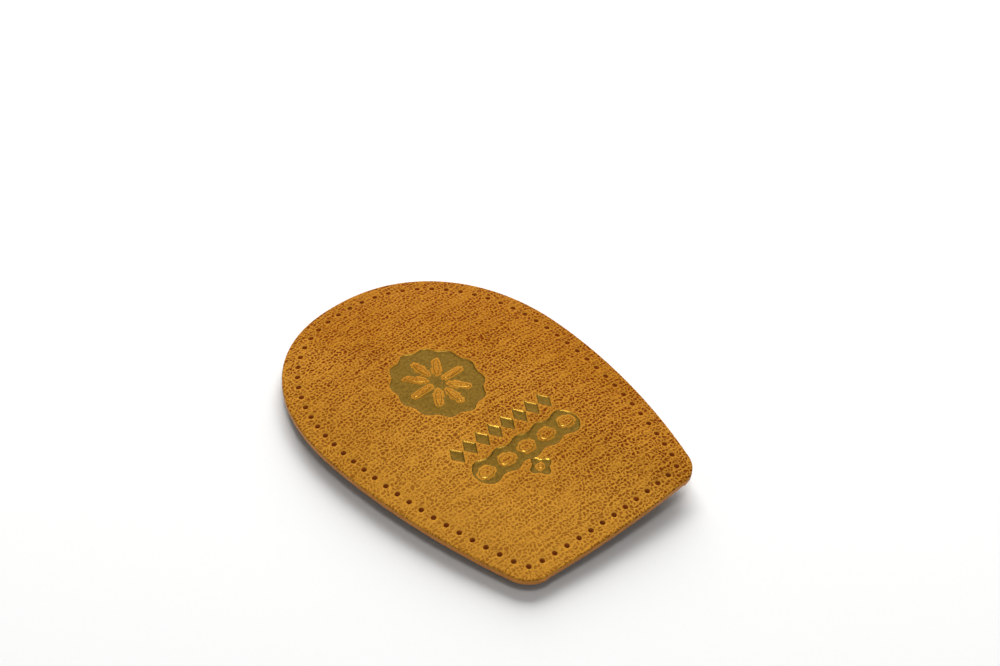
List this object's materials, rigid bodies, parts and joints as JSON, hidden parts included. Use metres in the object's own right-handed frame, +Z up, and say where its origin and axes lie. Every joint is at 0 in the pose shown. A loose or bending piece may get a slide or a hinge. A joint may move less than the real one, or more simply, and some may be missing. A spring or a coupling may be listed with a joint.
{
  "type": "corrective heel pad",
  "caption": "Flat leather-covered heel pad with a perforated foam cushion and a grooved wedge that tilts the heel towards one side.",
  "frame": {"origin": "below the middle of the pad, on the plane that its wedge's tread lies on", "axes": "+Y towards the pad's straight front edge, +Z up through the leather face, +X towards the side where the wedge is thin"},
  "size_m": [0.06, 0.0834, 0.0079],
  "materials": {
    "leather": "grained tan leather, semi-matt",
    "foam": "matt brown latex foam with a fine nap",
    "wedge": "satin white moulded foam rubber"
  },
  "bodies": {
    "root": {"leather_cover": "leather", "foam_pad": "foam", "side_wedge": "wedge"}
  },
  "joints": []
}
